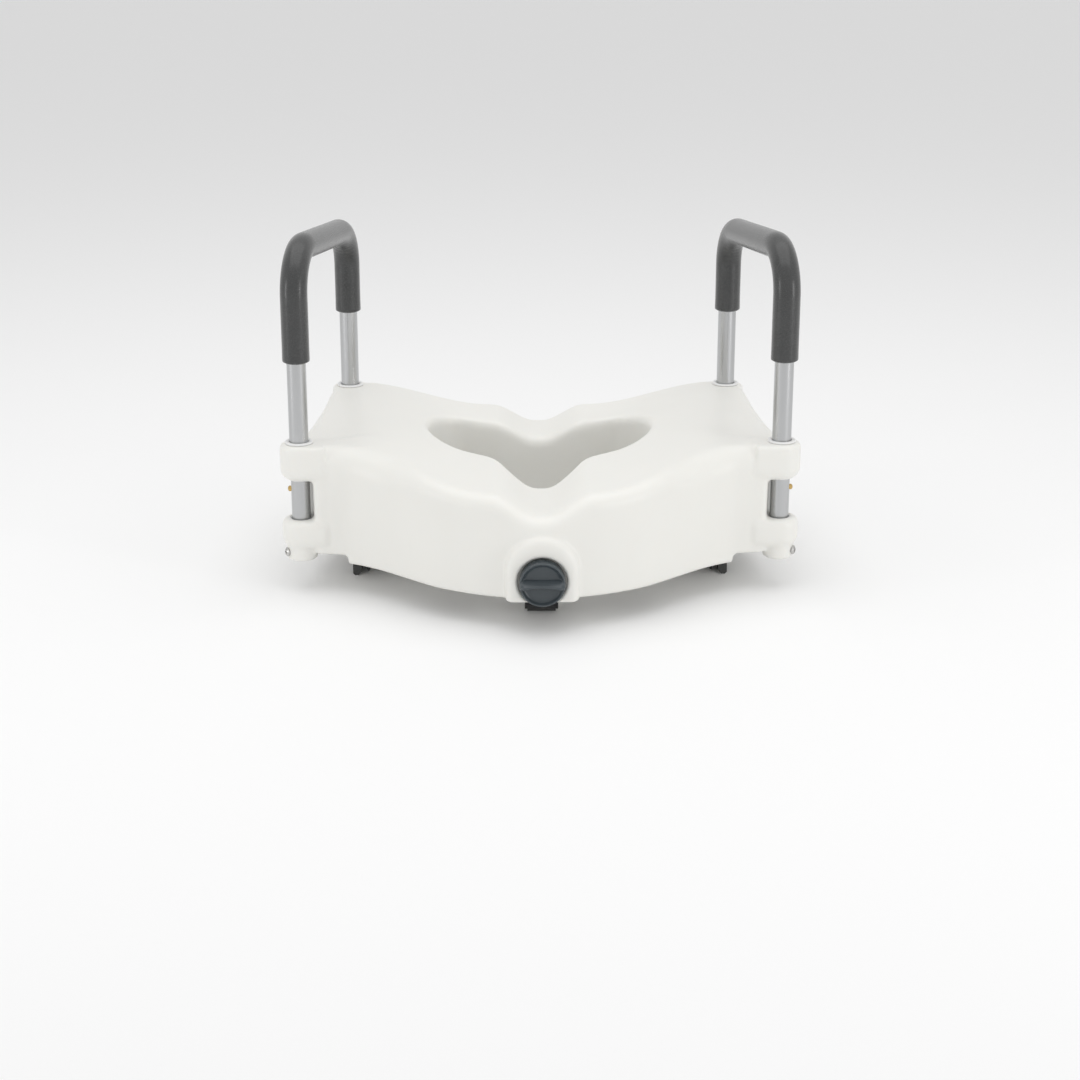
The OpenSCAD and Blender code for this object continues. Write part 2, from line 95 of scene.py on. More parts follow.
def addStudio():
    world = bpy.data.worlds.new("studio")
    bpy.context.scene.world = world
    world.use_nodes = True
    background = world.node_tree.nodes["Background"]
    background.inputs["Color"].default_value = (1, 1, 1, 1)
    background.inputs["Strength"].default_value = studio["worldStrength"]
    bpy.context.scene.view_settings.view_transform = "Standard"
    addSoftbox("overhead", (0, -0.1, 1.9), (0, 0, 0.1), (2.4, 1.8), studio["overhead"])
    addSoftbox("left", (-1.75, -0.8, 0.42), (0, 0, 0.2), (0.25, 0.8), studio["left"])
    addSoftbox("right", (1.6, -1.15, 0.42), (0, 0, 0.2), (0.25, 0.8), studio["right"])
    floorMesh = bpy.data.meshes.new("floor")
    floorMesh.from_pydata([(-30, -30, 0), (30, -30, 0), (30, 30, 0), (-30, 30, 0)], [], [(0, 1, 2, 3)])
    floor = bpy.data.objects.new("floor", floorMesh)
    bpy.context.collection.objects.link(floor)
    material = bpy.data.materials.new("paleFloor")
    material.use_nodes = True
    surface = material.node_tree.nodes["Principled BSDF"]
    surface.inputs["Base Color"].default_value = (*studio["floorColour"], 1)
    surface.inputs["Roughness"].default_value = 0.8
    floorMesh.materials.append(material)


addCamera()
addStudio()
print("camera and studio ready")


# Shader node groups.


def addNode(tree, kind, x, y, label="", **settings):
    made = tree.nodes.new(kind)
    made.location = (x, y)
    made.label = label
    for key, value in settings.items():
        setattr(made, key, value)
    return made


def newGroup(name, inputs, outputs):
    group = bpy.data.node_groups.new(name, "ShaderNodeTree")
    for label, kind, start in inputs:
        socket = group.interface.new_socket(name=label, in_out="INPUT", socket_type=kind)
        socket.default_value = start
    for label, kind in outputs:
        group.interface.new_socket(name=label, in_out="OUTPUT", socket_type=kind)
    return group, addNode(group, "NodeGroupInput", -900, 0), addNode(group, "NodeGroupOutput", 900, 0)


def mathNode(tree, operation, x, y, first, second=None, third=None, clamp=False):
    made = addNode(tree, "ShaderNodeMath", x, y, operation=operation, use_clamp=clamp)
    for socket, value in zip(made.inputs, (first, second, third)):
        if isinstance(value, (int, float)):
            socket.default_value = value
        elif value is not None:
            tree.links.new(value, socket)
    return made.outputs[0]


def noiseNode(tree, x, y, vector, scale, detail=3.0, roughness=0.5, distortion=0.0):
    made = addNode(tree, "ShaderNodeTexNoise", x, y)
    tree.links.new(vector, made.inputs["Vector"])
    if isinstance(scale, (int, float)):
        made.inputs["Scale"].default_value = scale
    else:
        tree.links.new(scale, made.inputs["Scale"])
    made.inputs["Detail"].default_value = detail
    made.inputs["Roughness"].default_value = roughness
    made.inputs["Distortion"].default_value = distortion
    return made.outputs["Fac"]


def rampNode(tree, x, y, value, low, high, toLow=0.0, toHigh=1.0):
    made = addNode(tree, "ShaderNodeMapRange", x, y)
    tree.links.new(value, made.inputs["Value"])
    made.inputs["From Min"].default_value = low
    made.inputs["From Max"].default_value = high
    made.inputs["To Min"].default_value = toLow
    made.inputs["To Max"].default_value = toHigh
    return made.outputs["Result"]


# Skin of a moulded piece: slow mottling, a fine spark-eroded grain and faint flow marks.
def buildMouldedSkin():
    group, given, out = newGroup(
        "Moulded skin",
        [("Scale", "NodeSocketFloat", 1.0), ("Mottle", "NodeSocketFloat", 0.02), ("Flow", "NodeSocketFloat", 0.3)],
        [("Tone", "NodeSocketFloat"), ("Dullness", "NodeSocketFloat"), ("Height", "NodeSocketFloat")],
    )
    where = addNode(group, "ShaderNodeTexCoord", -900, 300).outputs["Object"]
    slowScale = mathNode(group, "MULTIPLY", -700, 200, given.outputs["Scale"], 17.0)
    grainScale = mathNode(group, "MULTIPLY", -700, 0, given.outputs["Scale"], 1500.0)
    flowScale = mathNode(group, "MULTIPLY", -700, -200, given.outputs["Scale"], 60.0)
    slow = noiseNode(group, -500, 200, where, slowScale, 4.0, 0.55)
    grain = noiseNode(group, -500, 0, where, grainScale, 2.0, 0.5)
    flow = noiseNode(group, -500, -200, where, flowScale, 3.0, 0.6, 1.2)
    centred = mathNode(group, "SUBTRACT", -300, 200, slow, 0.5)
    swing = mathNode(group, "MULTIPLY", -100, 200, centred, given.outputs["Mottle"])
    doubled = mathNode(group, "MULTIPLY", 60, 200, swing, 2.0)
    tone = mathNode(group, "ADD", 240, 200, doubled, 1.0)
    dull = mathNode(group, "MULTIPLY_ADD", 60, 0, slow, 0.5, grain)
    flowHeight = mathNode(group, "MULTIPLY", -100, -200, flow, given.outputs["Flow"])
    height = mathNode(group, "MULTIPLY_ADD", 240, -200, grain, 0.25, flowHeight)
    group.links.new(tone, out.inputs["Tone"])
    group.links.new(dull, out.inputs["Dullness"])
    group.links.new(height, out.inputs["Height"])
    return group


# Short hairline scuffs in two directions, in patches where hands and cloths rub.
def buildRubMarks():
    group, given, out = newGroup(
        "Rub marks",
        [("Scale", "NodeSocketFloat", 1.0), ("Amount", "NodeSocketFloat", 0.5)],
        [("Mask", "NodeSocketFloat")],
    )
    where = addNode(group, "ShaderNodeTexCoord", -900, 300).outputs["Object"]
    lines = None
    for turn, squeeze in ((25, (620, 26, 26)), (-50, (34, 700, 34))):
        mapping = addNode(group, "ShaderNodeMapping", -700, turn * 4)
        group.links.new(where, mapping.inputs["Vector"])
        mapping.inputs["Rotation"].default_value = (0.2, 0.35, math.radians(turn))
        mapping.inputs["Scale"].default_value = squeeze
        streak = noiseNode(group, -500, turn * 4, mapping.outputs["Vector"], given.outputs["Scale"], 1.0, 0.4)
        line = rampNode(group, -300, turn * 4, streak, 0.70, 0.76)
        lines = line if lines is None else mathNode(group, "MAXIMUM", -100, 0, lines, line)
    patches = rampNode(group, -300, -300, noiseNode(group, -500, -300, where, 22.0, 3.0), 0.48, 0.66)
    inPatch = mathNode(group, "MULTIPLY", 100, 0, lines, patches)
    mask = mathNode(group, "MULTIPLY", 300, 0, inPatch, given.outputs["Amount"])
    group.links.new(mask, out.inputs["Mask"])
    return group


# Bright line along outside corners where a finish has been handled; on the knob the same line is also a painted
# highlight of its lit finger bar.
def buildEdgeWearAndHighlight():
    group, given, out = newGroup(
        "Edge wear and highlight",
        [("Reach", "NodeSocketFloat", 0.001), ("Amount", "NodeSocketFloat", 0.5)],
        [("Mask", "NodeSocketFloat")],
    )
    where = addNode(group, "ShaderNodeTexCoord", -900, 300).outputs["Object"]
    rounded = addNode(group, "ShaderNodeBevel", -700, 100, samples=6)
    group.links.new(given.outputs["Reach"], rounded.inputs["Radius"])
    plain = addNode(group, "ShaderNodeNewGeometry", -700, -100)
    dot = addNode(group, "ShaderNodeVectorMath", -500, 0, operation="DOT_PRODUCT")
    group.links.new(rounded.outputs["Normal"], dot.inputs[0])
    group.links.new(plain.outputs["Normal"], dot.inputs[1])
    edge = rampNode(group, -300, 0, dot.outputs["Value"], 0.99, 0.80)
    broken = rampNode(group, -300, -250, noiseNode(group, -500, -250, where, 260.0, 4.0), 0.35, 0.65)
    wornAndLit = mathNode(group, "MULTIPLY", -100, 0, edge, broken)
    mask = mathNode(group, "MULTIPLY", 100, 0, wornAndLit, given.outputs["Amount"], clamp=True)
    group.links.new(mask, out.inputs["Mask"])
    return group


# Lines that drawing or brushing leaves along a metal part's length.
def buildDrawnLines():
    group, given, out = newGroup(
        "Drawn lines",
        [("Along", "NodeSocketVector", (900.0, 900.0, 7.0)), ("Depth", "NodeSocketFloat", 0.5)],
        [("Tone", "NodeSocketFloat"), ("Height", "NodeSocketFloat")],
    )
    where = addNode(group, "ShaderNodeTexCoord", -900, 300).outputs["Object"]
    stretch = addNode(group, "ShaderNodeVectorMath", -700, 200, operation="MULTIPLY")
    group.links.new(where, stretch.inputs[0])
    group.links.new(given.outputs["Along"], stretch.inputs[1])
    fine = noiseNode(group, -500, 200, stretch.outputs["Vector"], 1.0, 3.0, 0.7)
    broad = noiseNode(group, -500, 0, stretch.outputs["Vector"], 0.22, 2.0, 0.5)
    both = mathNode(group, "ADD", -300, 100, fine, broad)
    centred = mathNode(group, "SUBTRACT", -100, 100, both, 1.0)
    swing = mathNode(group, "MULTIPLY", 60, 100, centred, given.outputs["Depth"])
    tone = mathNode(group, "ADD", 240, 100, swing, 1.0)
    group.links.new(tone, out.inputs["Tone"])
    group.links.new(swing, out.inputs["Height"])
    return group


# Open cells in the skin of a foam sleeve, with a slow cloudiness.
def buildFoamCells():
    group, given, out = newGroup(
        "Foam cells",
        [("Scale", "NodeSocketFloat", 900.0)],
        [("Tone", "NodeSocketFloat"), ("Pits", "NodeSocketFloat"), ("Height", "NodeSocketFloat")],
    )
    where = addNode(group, "ShaderNodeTexCoord", -900, 300).outputs["Object"]
    cells = addNode(group, "ShaderNodeTexVoronoi", -500, 200)
    group.links.new(where, cells.inputs["Vector"])
    group.links.new(given.outputs["Scale"], cells.inputs["Scale"])
    pits = rampNode(group, -300, 200, cells.outputs["Distance"], 0.05, 0.42)
    cloud = noiseNode(group, -500, -50, where, 55.0, 4.0, 0.6)
    speck = noiseNode(group, -500, -250, where, 700.0, 2.0, 0.6)
    cloudTone = rampNode(group, -300, -50, cloud, 0.3, 0.7, 0.90, 1.10)
    speckTone = rampNode(group, -300, -250, speck, 0.3, 0.7, 0.86, 1.14)
    tone = mathNode(group, "MULTIPLY", -100, -100, cloudTone, speckTone)
    pitted = mathNode(group, "MULTIPLY_ADD", 100, 100, speck, 0.6, pits)
    group.links.new(tone, out.inputs["Tone"])
    group.links.new(pits, out.inputs["Pits"])
    group.links.new(pitted, out.inputs["Height"])
    return group


mouldedSkin = buildMouldedSkin()
rubMarks = buildRubMarks()
edgeWearAndHighlight = buildEdgeWearAndHighlight()
drawnLines = buildDrawnLines()
foamCells = buildFoamCells()


# Materials.


def newMaterial(name):
    material = bpy.data.materials.new(name)
    material.use_nodes = True
    tree = material.node_tree
    return material, tree, tree.nodes["Principled BSDF"]


def useGroup(tree, group, x, y, **values):
    made = addNode(tree, "ShaderNodeGroup", x, y, node_tree=group)
    for key, value in values.items():
        made.inputs[key].default_value = value
    return made


def tinted(tree, x, y, colour, tone):
    made = addNode(tree, "ShaderNodeVectorMath", x, y, operation="SCALE")
    made.inputs[0].default_value = colour
    tree.links.new(tone, made.inputs["Scale"])
    return made.outputs["Vector"]


def blended(tree, x, y, mask, first, second):
    made = addNode(tree, "ShaderNodeMix", x, y, data_type="RGBA")
    tree.links.new(mask, made.inputs["Factor"])
    tree.links.new(first, made.inputs[6])
    made.inputs[7].default_value = (*second, 1)
    return made.outputs[2]


def addBump(tree, surface, height, strength, distance):
    bump = addNode(tree, "ShaderNodeBump", -150, -400)
    bump.inputs["Strength"].default_value = strength
    bump.inputs["Distance"].default_value = distance
    tree.links.new(height, bump.inputs["Height"])
    tree.links.new(bump.outputs["Normal"], surface.inputs["Normal"])


# A moulded plastic, soft or hard, with its own colour and wear; on the knob the edge tint is also a painted
# highlight.
def mouldedPlastic(name, look):
    material, tree, surface = newMaterial(name)
    skin = useGroup(tree, mouldedSkin, -900, 200, Scale=look["scale"], Mottle=look["mottle"], Flow=look["flow"])
    rubs = useGroup(tree, rubMarks, -900, -50, Scale=look["rubScale"], Amount=look["rubs"])
    wearAndHighlight = useGroup(tree, edgeWearAndHighlight, -900, -250, Reach=look["wearAndHighlightReach"], Amount=look["wearAndHighlight"])
    colour = tinted(tree, -650, 250, look["colour"], skin.outputs["Tone"])
    # Edge tint: real wear, and on the knob also a painted highlight.
    wornAndLit = blended(tree, -450, 250, wearAndHighlight.outputs["Mask"], colour, look["wearAndHighlightColour"])
    rubbed = blended(tree, -250, 250, rubs.outputs["Mask"], wornAndLit, look["rubColour"])
    tree.links.new(rubbed, surface.inputs["Base Color"])
    dull = rampNode(tree, -650, 0, skin.outputs["Dullness"], 0.35, 1.15, look["roughLow"], look["roughHigh"])
    rough = mathNode(tree, "MULTIPLY_ADD", -250, 0, rubs.outputs["Mask"], 0.25, dull, clamp=True)
    tree.links.new(rough, surface.inputs["Roughness"])
    surface.inputs["Specular IOR Level"].default_value = look.get("specular", 0.5)
    if "glow" in look:
        surface.inputs["Subsurface Weight"].default_value = look["glow"]
        surface.inputs["Subsurface Radius"].default_value = (0.004, 0.0035, 0.003)
        surface.inputs["Subsurface Scale"].default_value = 0.5
    addBump(tree, surface, skin.outputs["Height"], look["bump"], look["bumpDepth"])
    return material


# A metal part with drawn or brushed lines.
def drawnMetal(name, look):
    material, tree, surface = newMaterial(name)
    lines = useGroup(tree, drawnLines, -900, 200, Along=look["along"], Depth=look["lineDepth"])
    rubs = useGroup(tree, rubMarks, -900, 0, Scale=look["rubScale"], Amount=look["rubs"])
    wearAndHighlight = useGroup(tree, edgeWearAndHighlight, -900, -200, Reach=look["wearAndHighlightReach"], Amount=look["wearAndHighlight"])
    colour = tinted(tree, -650, 250, look["colour"], lines.outputs["Tone"])
    wornAndLit = blended(tree, -450, 250, wearAndHighlight.outputs["Mask"], colour, look["wearAndHighlightColour"])
    rubbed = blended(tree, -250, 250, rubs.outputs["Mask"], wornAndLit, look["rubColour"])
    tree.links.new(rubbed, surface.inputs["Base Color"])
    rough = rampNode(tree, -450, 0, lines.outputs["Tone"], 0.85, 1.15, look["roughHigh"], look["roughLow"])
    tree.links.new(rough, surface.inputs["Roughness"])
    surface.inputs["Metallic"].default_value = look["metallic"]
    addBump(tree, surface, lines.outputs["Height"], look["bump"], 0.0001)
    return material


def foamSleeve(name, look):
    material, tree, surface = newMaterial(name)
    cells = useGroup(tree, foamCells, -900, 200, Scale=look["cellScale"])
    rubs = useGroup(tree, rubMarks, -900, -50, Scale=look["rubScale"], Amount=look["rubs"])
    colour = tinted(tree, -650, 250, look["colour"], cells.outputs["Tone"])
    rubbed = blended(tree, -250, 250, rubs.outputs["Mask"], colour, look["rubColour"])
    tree.links.new(rubbed, surface.inputs["Base Color"])
    rough = rampNode(tree, -450, 0, cells.outputs["Pits"], 0.0, 1.0, look["roughHigh"], look["roughLow"])
    tree.links.new(rough, surface.inputs["Roughness"])
    surface.inputs["Sheen Weight"].default_value = look["sheen"]
    surface.inputs["Sheen Roughness"].default_value = 0.45
    addBump(tree, surface, cells.outputs["Height"], look["bump"], look["bumpDepth"])
    return material


finishes = {
    "seat": {
        "colour": (0.835, 0.828, 0.790), "scale": 1.0, "mottle": 0.016, "flow": 0.35,
        "roughLow": 0.33, "roughHigh": 0.46, "rubScale": 1.0, "rubs": 0.10, "rubColour": (0.76, 0.755, 0.73),
        "wearAndHighlightReach": 0.0016, "wearAndHighlight": 0.30, "wearAndHighlightColour": (0.87, 0.865, 0.84), "bump": 0.16, "bumpDepth": 0.0006,
        "glow": 0.10,
    },
    "collar": {
        "colour": (0.80, 0.80, 0.79), "scale": 1.6, "mottle": 0.02, "flow": 0.15,
        "roughLow": 0.30, "roughHigh": 0.42, "rubScale": 1.6, "rubs": 0.2, "rubColour": (0.66, 0.66, 0.65),
        "wearAndHighlightReach": 0.0006, "wearAndHighlight": 0.4, "wearAndHighlightColour": (0.86, 0.86, 0.85), "bump": 0.12, "bumpDepth": 0.0002,
        "glow": 0.1,
    },
    # The knob's edge colour is the blue-grey of its lit finger bar: partly real edge wear, partly painted highlight.
    "knob": {
        "colour": (0.050, 0.062, 0.070), "scale": 1.8, "mottle": 0.10, "flow": 0.2,
        "roughLow": 0.25, "roughHigh": 0.36, "rubScale": 1.5, "rubs": 0.5, "rubColour": (0.11, 0.125, 0.135),
        "wearAndHighlightReach": 0.0009, "wearAndHighlight": 0.75, "wearAndHighlightColour": (0.26, 0.29, 0.31), "bump": 0.22, "bumpDepth": 0.0002,
    },
    "bracket": {
        "colour": (0.055, 0.056, 0.054), "scale": 1.4, "mottle": 0.10, "flow": 0.3,
        "roughLow": 0.42, "roughHigh": 0.60, "rubScale": 1.3, "rubs": 0.5, "rubColour": (0.12, 0.12, 0.118),
        "wearAndHighlightReach": 0.0008, "wearAndHighlight": 0.7, "wearAndHighlightColour": (0.15, 0.15, 0.148), "bump": 0.30, "bumpDepth": 0.0003,
    },
    "rubber": {
        "colour": (0.040, 0.040, 0.041), "scale": 2.2, "mottle": 0.16, "flow": 0.5,
        "roughLow": 0.62, "roughHigh": 0.85, "rubScale": 1.2, "rubs": 0.6, "rubColour": (0.10, 0.10, 0.098),
        "wearAndHighlightReach": 0.0008, "wearAndHighlight": 0.6, "wearAndHighlightColour": (0.10, 0.10, 0.10), "bump": 0.45, "bumpDepth": 0.0004,
        "specular": 0.3,
    },
    "plug": {
        "colour": (0.022, 0.022, 0.023), "scale": 2.0, "mottle": 0.10, "flow": 0.3,
        "roughLow": 0.45, "roughHigh": 0.62, "rubScale": 1.4, "rubs": 0.4, "rubColour": (0.07, 0.07, 0.07),
        "wearAndHighlightReach": 0.0006, "wearAndHighlight": 0.6, "wearAndHighlightColour": (0.09, 0.09, 0.09), "bump": 0.3, "bumpDepth": 0.0003,
    },
    # The tube's colour is darker than the bare metal, standing in for the dark surroundings it would reflect: painted
    # shade.
    "tube": {
        "colour": (0.50, 0.505, 0.51), "along": (1300.0, 1300.0, 6.0), "lineDepth": 0.16, "metallic": 1.0,
        "roughLow": 0.20, "roughHigh": 0.30, "rubScale": 1.4, "rubs": 0.35, "rubColour": (0.62, 0.62, 0.62),
        "wearAndHighlightReach": 0.0005, "wearAndHighlight": 0.7, "wearAndHighlightColour": (0.88, 0.88, 0.87), "bump": 0.10,
    },
    "screw": {
        "colour": (0.56, 0.555, 0.54), "along": (900.0, 900.0, 900.0), "lineDepth": 0.22, "metallic": 1.0,
        "roughLow": 0.24, "roughHigh": 0.42, "rubScale": 2.5, "rubs": 0.5, "rubColour": (0.72, 0.72, 0.70),
        "wearAndHighlightReach": 0.0003, "wearAndHighlight": 0.8, "wearAndHighlightColour": (0.80, 0.79, 0.77), "bump": 0.2,
    },
    "spring": {
        "colour": (0.32, 0.32, 0.335), "along": (700.0, 700.0, 60.0), "lineDepth": 0.25, "metallic": 1.0,
        "roughLow": 0.26, "roughHigh": 0.40, "rubScale": 2.0, "rubs": 0.5, "rubColour": (0.48, 0.48, 0.49),
        "wearAndHighlightReach": 0.0003, "wearAndHighlight": 0.6, "wearAndHighlightColour": (0.55, 0.55, 0.55), "bump": 0.15,
    },
    "brass": {
        "colour": (0.62, 0.43, 0.17), "along": (800.0, 800.0, 800.0), "lineDepth": 0.25, "metallic": 1.0,
        "roughLow": 0.22, "roughHigh": 0.40, "rubScale": 2.5, "rubs": 0.5, "rubColour": (0.78, 0.62, 0.34),
        "wearAndHighlightReach": 0.0004, "wearAndHighlight": 0.8, "wearAndHighlightColour": (0.85, 0.70, 0.42), "bump": 0.15,
    },
    "foam": {
        "colour": (0.046, 0.047, 0.047), "cellScale": 1100.0, "roughLow": 0.22, "roughHigh": 0.34,
        "rubScale": 0.9, "rubs": 0.20, "rubColour": (0.11, 0.11, 0.108), "sheen": 0.25,
        "bump": 0.22, "bumpDepth": 0.0003,
    },
}

seatPlastic = mouldedPlastic("seatPlastic", finishes["seat"])
collarPlastic = mouldedPlastic("collarPlastic", finishes["collar"])
knobPlastic = mouldedPlastic("knobPlastic", finishes["knob"])
bracketPlastic = mouldedPlastic("bracketPlastic", finishes["bracket"])
softRubber = mouldedPlastic("softRubber", finishes["rubber"])
plugPlastic = mouldedPlastic("plugPlastic", finishes["plug"])
tubeAluminium = drawnMetal("tubeAluminium", finishes["tube"])
screwSteel = drawnMetal("screwSteel", finishes["screw"])
springSteel = drawnMetal("springSteel", finishes["spring"])
brass = drawnMetal("brass", finishes["brass"])
gripFoam = foamSleeve("gripFoam", finishes["foam"])
print("materials ready:", len(bpy.data.materials))


# Making solids.


def newPiece(name, points, faces):
    mesh = bpy.data.meshes.new(name)
    mesh.from_pydata([tuple(p) for p in points], [], faces)
    work = bmesh.new()
    work.from_mesh(mesh)
    bmesh.ops.recalc_face_normals(work, faces=work.faces)
    work.to_mesh(mesh)
    work.free()
    piece = bpy.data.objects.new(name, mesh)
    bpy.context.collection.objects.link(piece)
    return piece


def bakeModifiers(piece):
    made = bpy.data.meshes.new_from_object(piece.evaluated_get(bpy.context.evaluated_depsgraph_get()))
    piece.modifiers.clear()
    piece.data = made


def combine(piece, tools, operation):
    for tool in tools:
        step = piece.modifiers.new(operation.lower(), "BOOLEAN")
        step.object = tool
        step.operation = operation
        step.solver = "MANIFOLD"
    bpy.context.view_layer.update()
    bakeModifiers(piece)
    for tool in tools:
        bpy.data.objects.remove(tool)


def shadeSmooth(piece, angle):
    piece.data.shade_smooth()
    piece.data.set_sharp_from_angle(angle=math.radians(angle))


# Closed solid from rings of equal length; the end rings are filled.
def fromRings(name, rings, closedLoop=False):
    count = len(rings[0])
    points = [p for ring in rings for p in ring]
    faces = []
    turns = len(rings) if closedLoop else len(rings) - 1
    for k in range(turns):
        n = (k + 1) % len(rings)
        for j in range(count):
            i = (j + 1) % count
            faces.append((k * count + j, k * count + i, n * count + i, n * count + j))
    if not closedLoop:
        faces.append(tuple(range(count)))
        faces.append(tuple((len(rings) - 1) * count + j for j in range(count)))
    return newPiece(name, points, faces)


# Turned solid: profile is [radius, height] from bottom to top, with no radius of zero.
def turned(name, profile, matrix, segments=96):
    rings = []
    for radius, height in profile:
        ring = []
        for j in range(segments):
            a = 2 * math.pi * j / segments
            ring.append(matrix @ Vector((radius * math.cos(a), radius * math.sin(a), height)))
        rings.append(ring)
    return fromRings(name, rings)


# Matrix that takes millimetre design lengths to the common frame, at a point, with a turn.
def at(x, y, z, turn=None):
    base = Matrix.Translation(place(x, y, z)) @ Matrix.Diagonal((mm, mm, mm, 1))
    return base @ turn if turn else base


def blockBetween(name, low, high, radius=0.0, segments=4):
    work = bmesh.new()
    bmesh.ops.create_cube(work, size=1)
    for vert in work.verts:
        vert.co = Vector([(a + b) / 2 + (b - a) * c for a, b, c in zip(low, high, vert.co)])
    if radius:
        bmesh.ops.bevel(work, geom=work.edges[:], offset=radius, segments=segments, profile=0.5, affect="EDGES")
    mesh = bpy.data.meshes.new(name)
    for vert in work.verts:
        vert.co = place(*vert.co)
    bmesh.ops.recalc_face_normals(work, faces=work.faces)
    work.to_mesh(mesh)
    work.free()
    piece = bpy.data.objects.new(name, mesh)
    bpy.context.collection.objects.link(piece)
    return piece


# Seat body.

seatBody = {
    "deckTop": 121.5,
    "deckLow": 102.0,
    "dip": 17.0,
    "dipReach": 49.0,
    "frontEdge": 14.0,  # radius of the front roll
    "cornerEdge": 24.0,  # its radius beside the front lugs
    "sideEdge": 11.0,
    "lip": 10.5,
    "wingUnderside": 9.5,
    "baseHalf": 193.5,
    "ledge": 2.4,  # drop of the deck behind the front roll, by the front lugs
    "lugRadius": 19.5,
    "cupRadius": 15.6,
    "bossRadius": 35.5,
    "bossCentre": 30.5,
    "voxel": 1.6,
    "softening": 14,
}

# Profiles of a lug above and below its window: how far in from the full radius, and the height.
upperLug = [
    (11, 84.5), (6.5, 85.6), (2.6, 88.2), (0.7, 91.5), (0, 95),
    (0, 118), (0.6, 120.2), (2.0, 121.6), (4.5, 122.1),
]
lowerLug = [
    (6, 15.0), (4.2, 15.8), (2.0, 18.2), (0.6, 21.2), (0, 24.5),
    (0, 38.5), (0.8, 41.4), (2.8, 43.6), (6, 44.5),
]
# Right half, front centre to rear centre: outer x, outer y, lip x, lip y.
outline = [
    (0, -119, 0, -12), (20, -117.5, 10, -11), (40, -112, 19, -7), (60, -106, 27, -1), (80, -97, 34, 8),
    (100, -86, 41, 22), (120, -70, 50, 35), (142, -50, 63, 44), (165, -30, 79, 53), (190, -14, 93, 66),
    (212, -9, 102, 79), (226, -6, 108, 90), (229, 12, 112, 101), (241, 46, 115, 111), (235.5, 100, 115, 123),
    (229, 160, 113, 137), (226.5, 209, 107, 150.5), (223, 236, 99, 159), (212, 251, 90, 164), (190, 253, 81, 165),
    (165, 250, 72, 163), (135, 246, 62, 160), (105, 242, 52, 157), (75, 238, 42, 154), (50, 235, 30, 153),
    (25, 233, 15, 152.5), (0, 232, 0, 152.5),
]
legs = {"front": (240.5, 9.0), "rear": (205.0, 235.0)}
knobCentre = 21.5  # above the bowl rim


def ease(low, high, value):
    t = min(1.0, max(0.0, (value - low) / (high - low)))
    return t * t * (3 - 2 * t)


def mix(a, b, t):
    return a + (b - a) * t


def deckHeight(x, y):
    side = abs(x)
    front = 1 - ease(-60, 40, y)
    height = mix(seatBody["deckLow"], seatBody["deckTop"], ease(58, 188, side))
    height -= 4 * front * ease(118, 150, side) * (1 - ease(180, 215, side))
    height -= (seatBody["dip"] + 3 * front) * (1 - ease(4, seatBody["dipReach"], side))
    # soft ledge that runs inward from the back of each front lug
    behind = ((y - 15) * 63 + (side - 228) * 30) / 69.8
    height -= seatBody["ledge"] * ease(-3, 7, behind) * ease(148, 215, side) * (1 - ease(70, 190, y))
    return height


def outlineAt(u):
    last = len(outline) - 1

    def station(i):
        if i < 0:
            s = outline[-i]
            return (-s[0], s[1], -s[2], s[3])
        if i > last:
            s = outline[2 * last - i]
            return (-s[0], s[1], -s[2], s[3])
        return outline[i]

    i = min(last - 1, int(math.floor(u)))
    t = u - i
    a, b, c, d = station(i - 1), station(i), station(i + 1), station(i + 2)
    return [
        0.5 * (2 * b[n] + (c[n] - a[n]) * t + (2 * a[n] - 5 * b[n] + 4 * c[n] - d[n]) * t * t
               + (3 * b[n] - a[n] - 3 * c[n] + d[n]) * t ** 3)
        for n in range(4)
    ]


def seatRing(column):
    outerX, outerY, lipX, lipY = column
    width = math.hypot(outerX - lipX, outerY - lipY)
    along = ((outerX - lipX) / width, (outerY - lipY) / width)

    def spot(d):
        return lipX + along[0] * d, lipY + along[1] * d

    lip = seatBody["lip"]
    frontEdge = mix(seatBody["frontEdge"], seatBody["cornerEdge"], ease(110, 160, abs(outerX)))
    edge = mix(frontEdge, seatBody["sideEdge"], ease(-20, 30, outerY))
    lipTop = deckHeight(*spot(lip))
    rim = deckHeight(*spot(width - edge))
    ring = []
    for k in range(14):
        ring.append((*spot(3 * (1 - k / 14)), (lipTop - lip) * k / 14))
    for k in range(7):
        a = math.radians(90 * k / 7)
        ring.append((*spot(lip * (1 - math.cos(a))), lipTop - lip + lip * math.sin(a)))
    for k in range(41):
        x, y = spot(mix(lip, width - edge, k / 40))
        ring.append((x, y, deckHeight(x, y)))
    for k in range(1, 9):
        a = math.radians(90 * k / 8)
        ring.append((*spot(width - edge + edge * math.sin(a)), rim - edge + edge * math.cos(a)))
    for k in range(1, 15):
        ring.append((*spot(width - 1.2 * k / 14), mix(rim - edge, 2.5, k / 14)))
    ring.append((*spot(width - 3.5), 0))
    return [place(*p) for p in ring]


def seatCore():
    steps = 7
    half = (len(outline) - 1) * steps
    rings = []
    for k in range(2 * half):
        if k <= half:
            column = outlineAt(k / steps)
        else:
            x, y, lipX, lipY = outlineAt((2 * half - k) / steps)
            column = (-x, y, -lipX, lipY)
        rings.append(seatRing(column))
    return fromRings("seatBody", rings, closedLoop=True)


# Block with a rounded outer end that carries a front leg: half round outside, straight towards the wall.
def lugBlock(name, side, levels):
    x, y = legs["front"]
    rings = []
    for inset, height in levels:
        radius = seatBody["lugRadius"] - inset
        ring = []
        for k in range(25):
            a = math.radians(-90 + 180 * k / 24)
            ring.append(place(side * (x + radius * math.cos(a)), y + radius * math.sin(a), height))
        ring.append(place(side * 214, y + radius, height))
        ring.append(place(side * 214, y - radius, height))
        rings.append(ring)
    return fromRings(name, rings)


